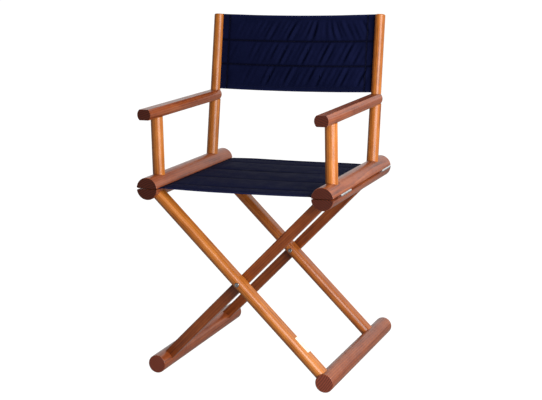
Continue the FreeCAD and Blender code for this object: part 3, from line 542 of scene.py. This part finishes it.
def stitching(sling, side_name, front, back, material):
    """The stitches of one half's seams, on both sides of the cloth."""
    side = SIDES[side_name]
    pitch = 3.6 * MM
    length = 2.7 * MM
    radius = 0.3 * MM
    vertices = []
    faces = []
    corners = 5
    profile = (0.0, 0.75, 1.0, 1.0, 0.75, 0.0)
    for surface in (front, back):
        outwards = grid_normals(surface) * (1 if surface is front else -1)
        lines = []
        for seam in sling.seams:
            row = int(np.argmin(np.abs(sling.rows - seam)))
            lines.append((sling.columns, surface[row], outwards[row], pitch / 2, sling.side_seam))
        column = int(np.argmin(np.abs(sling.columns - side * sling.side_seam)))
        lines.append((sling.rows, surface[:, column], outwards[:, column], sling.hem,
                      sling.length - sling.hem))
        for stations, points, normals, start, end in lines:
            along_seam = stations is sling.columns
            for begin in np.arange(start, end - length, pitch):
                spots = begin + length * np.linspace(0.0, 1.0, len(profile))
                spots = spots * side if along_seam else spots
                line = np.stack([np.interp(spots, stations, points[:, k]) for k in range(3)], axis=1)
                normal = np.array([np.interp(spots[2], stations, normals[:, k]) for k in range(3)])
                forward = line[-1] - line[0]
                forward /= np.linalg.norm(forward)
                sideways = np.cross(normal, forward)
                base = len(vertices)
                for spot, share in zip(line, profile):
                    for corner in range(corners):
                        angle = 2 * math.pi * corner / corners
                        offset = math.cos(angle) * sideways + math.sin(angle) * normal
                        lift = normal * radius * (0.9 * share - 0.5)
                        vertices.append(spot + lift + offset * radius * max(share, 0.25))
                for ring in range(len(profile) - 1):
                    for corner in range(corners):
                        following = (corner + 1) % corners
                        first = base + ring * corners
                        second = first + corners
                        faces.append((first + corner, first + following, second + following,
                                      second + corner))
                faces.append(tuple(base + corner for corner in reversed(range(corners))))
                last = base + (len(profile) - 1) * corners
                faces.append(tuple(last + corner for corner in range(corners)))
    name = f"{sling.name}_stitching_{side_name}"
    mesh = bpy.data.meshes.new(name)
    mesh.from_pydata([tuple(vertex) for vertex in vertices], [], faces)
    mesh.polygons.foreach_set("use_smooth", np.ones(len(faces), bool))
    mesh.materials.append(material)
    made = bpy.data.objects.new(name, mesh)
    bpy.context.scene.collection.objects.link(made)
    return made


def sleeve(name, path, thick, length, place, material):
    """A strip of cloth bent along a path of (across, rise) points and as long as the sling."""
    path = np.array(path)
    ahead = np.gradient(path, axis=0)
    ahead /= np.linalg.norm(ahead, axis=1, keepdims=True)
    sideways = np.stack([-ahead[:, 1], ahead[:, 0]], axis=1)
    outline = np.concatenate([path + sideways * thick / 2, (path - sideways * thick / 2)[::-1]])
    steps = 40
    rows = np.linspace(0.0, length, steps)
    count = len(outline)
    vertices = np.concatenate([
        place(outline[:, 0], np.full(count, row), outline[:, 1]) for row in rows
    ])
    index = np.arange(steps * count).reshape(steps, count)
    turned = np.roll(index, -1, axis=1)
    faces = np.stack([index[:-1], turned[:-1], turned[1:], index[1:]], axis=-1).reshape(-1, 4).tolist()
    half = count // 2
    for row in (0, steps - 1):
        for spot in range(half - 1):
            ring = index[row]
            cap = [ring[spot], ring[spot + 1], ring[count - 2 - spot], ring[count - 1 - spot]]
            faces.append([int(corner) for corner in (cap[::-1] if row == 0 else cap)])
    mesh = bpy.data.meshes.new(name)
    mesh.from_pydata(vertices.tolist(), [], faces)
    spans = np.concatenate([[0.0], np.cumsum(np.linalg.norm(np.diff(outline, axis=0), axis=1))])
    flat = np.stack(np.meshgrid(spans, rows), axis=-1).reshape(-1, 2)
    corners = np.array([corner for face in faces for corner in face])
    mesh.uv_layers.new(name=CLOTH_MAP).data.foreach_set("uv", flat[corners].ravel())
    wear = np.full(len(vertices), 0.2)
    mesh.attributes.new("wear", "FLOAT", "POINT").data.foreach_set("value", wear)
    mesh.polygons.foreach_set("use_smooth", np.ones(len(faces), bool))
    mesh.materials.append(material)
    made = bpy.data.objects.new(name, mesh)
    bpy.context.scene.collection.objects.link(made)
    return made


def around(centre, radius, start, end, count=18):
    """Points on an arc, angles in degrees."""
    angles = np.radians(np.linspace(start, end, count))
    return [(centre[0] + radius * math.cos(a), centre[1] + radius * math.sin(a)) for a in angles]


def seat_sling(material, sewing):
    """The quilted seat."""
    low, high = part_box("seat_sling_right")
    split = (low.z + high.z) / 2
    rod_low, rod_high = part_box("seat_rod_right")
    rail_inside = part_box("lower_rail_right")[0].x
    length = high.y - low.y
    pitch = 107 * MM
    first = 54 * MM
    seams = [first + pitch * number for number in range(4)]
    sling = Sling("seat", (0.0, low.y, split), (0.0, 1.0, 0.0), length, rail_inside + 4 * MM, seams,
                  rail_inside - 11 * MM)
    front = gathered(sling, (0.004, 0.001), lambda share, row: 0.6 + 0 * share,
                     lambda share, row: 0.06 + 0 * share, puff=0.02, seed=11)
    back = 0.15 * front[:, ::-1] * np.array((-1.0, 1.0, 1.0))

    def sag(across, along):
        share = np.clip(np.abs(across) / sling.reach, 0, 1)
        dip = 2.2 * MM * (1 - share ** 2)
        forward = np.clip(1 - along / first, 0, 1)
        ripple = 0.3 * MM * np.sin(along * 95 + across * 13) * (1 - share ** 4)
        lift = 2.5 * MM * np.clip((1 - share) / 0.06, 0, 1)
        return lift - dip - 0.8 * MM * forward ** 2 * (1 - share ** 4) + ripple

    def lowest(across):
        return (1.3 + 1.19 * np.abs(across) / sling.reach) * MM

    finish_sling(sling, front, back, sag, 0.0, lowest, 1.5 * MM, 1.3 * MM, material, sewing)
    rod = ((rod_low.x + rod_high.x) / 2, (rod_low.z + rod_high.z) / 2 - split)
    for side_name, side in SIDES.items():
        inner = rail_inside + 1 * MM
        ring = around(rod, 3.55 * MM, -97, -443, 30)
        path = [(inner, 0.3 * MM), (rod[0] - 3 * MM, 0.3 * MM), (rod[0] - 0.9 * MM, 1.0 * MM), *ring,
                (rod[0] + 0.3 * MM, 1.0 * MM), (rod[0] - 2 * MM, -0.3 * MM), (inner, -0.3 * MM)]
        path = [(side * across, rise) for across, rise in path]
        tube = sleeve(f"seat_sleeve_cloth_{side_name}", path, 0.45 * MM, length, sling.points, material)
        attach(tube, f"{side_name}_arm_frame")
        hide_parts(f"seat_sleeve_{side_name}")


def back_slant(share, row):
    """How far the back's creases lean across for each step up, by row of the quilting."""
    top = np.clip(0.55 - 1.1 * np.clip((share - 0.1) / 0.5, 0, 1), -0.5, 0.55)
    return np.where(np.asarray(row) == 3, top, 0.5)


def back_fullness(share, row):
    """Where the back has cloth to spare: little at its left, most right of the middle."""
    rise = np.clip((share + 0.75) / 0.6, 0.0, 1.0)
    return (0.15 + 0.85 * rise * rise * (3 - 2 * rise)) * np.clip((1.15 - share) / 0.4, 0.25, 1.0)


def back_sling(material, sewing):
    """The quilted back."""
    lean = post_direction()
    rod_low, rod_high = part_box("back_rod_right")
    cloth_low, cloth_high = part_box("back_sling_right")
    length = (rod_high.z - rod_low.z - (rod_high.x - rod_low.x) * lean.y) / lean.z
    middle = (cloth_low + cloth_high) / 2
    start = middle - lean * length / 2
    seams = [length * share for share in (0.335, 0.655)]
    sling = Sling("back", (0.0, start.y, start.z), lean, length, 213.4 * MM, seams, 193 * MM)
    front = gathered(sling, (0.05, 0.004), back_slant, back_fullness, puff=0.03, seed=5)
    back = front[:, ::-1] * np.array((-1.0, 1.0, 1.0))

    def sag(across, along):
        share = np.clip(np.abs(across) / sling.reach, 0, 1)
        return -3.0 * MM * (1 - share ** 2) * (0.6 + 0.4 * along / length)

    def lowest(across):
        return 20 * MM

    finish_sling(sling, front, back, sag, 3 * MM, lowest, 1.3 * MM, 1.1 * MM, material, sewing)
    rod = ((rod_low.x + rod_high.x) / 2, 0.0)
    for side_name, side in SIDES.items():
        ring = around(rod, 2.4 * MM, 172, -172, 26)
        path = [(211.5 * MM, 0.3 * MM), (rod[0] - 3.2 * MM, 0.3 * MM), *ring,
                (rod[0] - 3.2 * MM, -0.3 * MM), (211.5 * MM, -0.3 * MM)]
        path = [(side * across, rise) for across, rise in path]
        tube = sleeve(f"back_sleeve_cloth_{side_name}", path, 0.4 * MM, length, sling.points, material)
        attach(tube, f"{side_name}_arm_frame")
        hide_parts(f"back_sleeve_{side_name}")


def finish_sling(sling, front_moved, back_moved, sag, droop, lowest, thick, crown, material, sewing):
    """Both halves of a sling and their stitches."""
    front, back = surfaces(sling, thick, crown, front_moved, back_moved, sag, droop, lowest)
    for side_name, side in SIDES.items():
        half = half_sling(sling, side_name, front, back, material)
        stitches = stitching(sling, side_name, front, back, sewing)
        for piece in (half, stitches):
            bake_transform(piece)
        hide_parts(f"{sling.name}_sling_{side_name}")


# ---------------------------------------------------------------- studio and camera
def make_camera():
    """The photograph's standpoint."""
    turn = math.radians(22.14)
    tilt = math.radians(11.8)
    roll = math.radians(-1.22)
    back = Vector((math.sin(turn) * math.cos(tilt), -math.cos(turn) * math.cos(tilt), math.sin(tilt)))
    level = Vector((math.cos(turn), math.sin(turn), 0.0))
    above = back.cross(level)
    right = math.cos(roll) * level + math.sin(roll) * above
    up = math.cos(roll) * above - math.sin(roll) * level
    data = bpy.data.cameras.new("camera")
    data.lens = 83.24
    data.sensor_width = 36.0
    camera = bpy.data.objects.new("camera", data)
    turned = Matrix((right, up, back)).transposed().to_4x4()
    camera.matrix_world = Matrix.Translation((1.1730, -2.8847, 1.0563)) @ turned
    bpy.context.scene.collection.objects.link(camera)
    bpy.context.scene.camera = camera


def make_floor():
    """A large pale floor, which keeps under the feet when the chair folds."""
    half = 60.0
    mesh = bpy.data.meshes.new("floor")
    corners = [(-half, -half, 0.0), (half, -half, 0.0), (half, half, 0.0), (-half, half, 0.0)]
    mesh.from_pydata(corners, [], [(0, 1, 2, 3)])
    paint = Paint("pale_floor")
    tree = paint.tree
    lit = paint.add("BsdfDiffuse", {"Color": grey(0.9)})
    seen = paint.add("LightPath", {}, output="Is Camera Ray")
    glow = paint.add("Emission", {"Color": grey(1.0),
                                  "Strength": paint.sum("MULTIPLY_ADD", seen, 0.85, 0.28)})
    both = paint.add("MixShader", {0: 0.9, 1: lit, 2: glow})
    tree.links.new(both, tree.nodes["Material Output"].inputs["Surface"])
    # Left out of light sampling, because so large a lamp makes the wood's gloss noisy.
    paint.material.cycles.emission_sampling = "NONE"
    mesh.materials.append(paint.material)
    floor = bpy.data.objects.new("floor", mesh)
    bpy.context.scene.collection.objects.link(floor)
    foot_low, foot_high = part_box("foot_rail_right")
    foot = bpy.data.objects.new("foot_marker", None)
    foot.location = ((foot_low.x + foot_high.x) / 2, 0.0, (foot_low.z + foot_high.z) / 2)
    bpy.context.scene.collection.objects.link(foot)
    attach(foot, "left_leg_frame")
    follow = floor.constraints.new("COPY_LOCATION")
    follow.target = foot
    follow.use_x = follow.use_y = False
    follow.use_offset = True
    floor.location.z = -foot.location.z


def area_light(name, place, target, size, power):
    """A soft box."""
    data = bpy.data.lights.new(name, "AREA")
    data.shape = "RECTANGLE"
    data.size, data.size_y = size
    data.energy = power
    lamp = bpy.data.objects.new(name, data)
    lamp.location = place
    lamp.rotation_euler = (Vector(target) - Vector(place)).to_track_quat("-Z", "Y").to_euler()
    bpy.context.scene.collection.objects.link(lamp)


def make_studio():
    """A white backdrop behind, dim in front, a large soft box at the right and a faint one above."""
    world = bpy.data.worlds.new("studio")
    bpy.context.scene.world = world
    world.use_nodes = True
    tree = world.node_tree
    background = tree.nodes["Background"]
    background.inputs["Color"].default_value = grey(1.0)
    place = tree.nodes.new("ShaderNodeTexCoord")
    split = tree.nodes.new("ShaderNodeSeparateXYZ")
    fall = tree.nodes.new("ShaderNodeMapRange")
    fall.interpolation_type = "SMOOTHSTEP"
    for socket, number in ((1, -0.35), (2, 0.55), (3, WORLD_FRONT), (4, WORLD_BACK)):
        fall.inputs[socket].default_value = number
    tree.links.new(place.outputs["Generated"], split.inputs[0])
    tree.links.new(split.outputs["Y"], fall.inputs["Value"])
    tree.links.new(fall.outputs[0], background.inputs["Strength"])
    white = tree.nodes.new("ShaderNodeBackground")
    white.inputs["Color"].default_value = grey(1.0)
    white.inputs["Strength"].default_value = 1.0
    seen = tree.nodes.new("ShaderNodeLightPath")
    both = tree.nodes.new("ShaderNodeMixShader")
    tree.links.new(seen.outputs["Is Camera Ray"], both.inputs[0])
    tree.links.new(background.outputs[0], both.inputs[1])
    tree.links.new(white.outputs[0], both.inputs[2])
    tree.links.new(both.outputs[0], tree.nodes["World Output"].inputs["Surface"])
    area_light("soft_box_right", (1.5, -1.04, 0.95), (0.0, 0.0, 0.5), (1.35, 1.7), 64.0)
    area_light("soft_box_above", (0.6, 0.4, 2.9), (0.0, 0.0, 0.4), (1.8, 1.8), 8.0)
    bpy.context.scene.view_settings.view_transform = "Standard"


make_camera()
make_floor()
make_studio()
dress_frame()
navy = woven("navy_canvas", (0.0022, 0.0034, 0.0175, 1), (0.0115, 0.0148, 0.061, 1), 0.55 * MM)
sewing_thread = thread()
seat_sling(navy, sewing_thread)
back_sling(navy, sewing_thread)
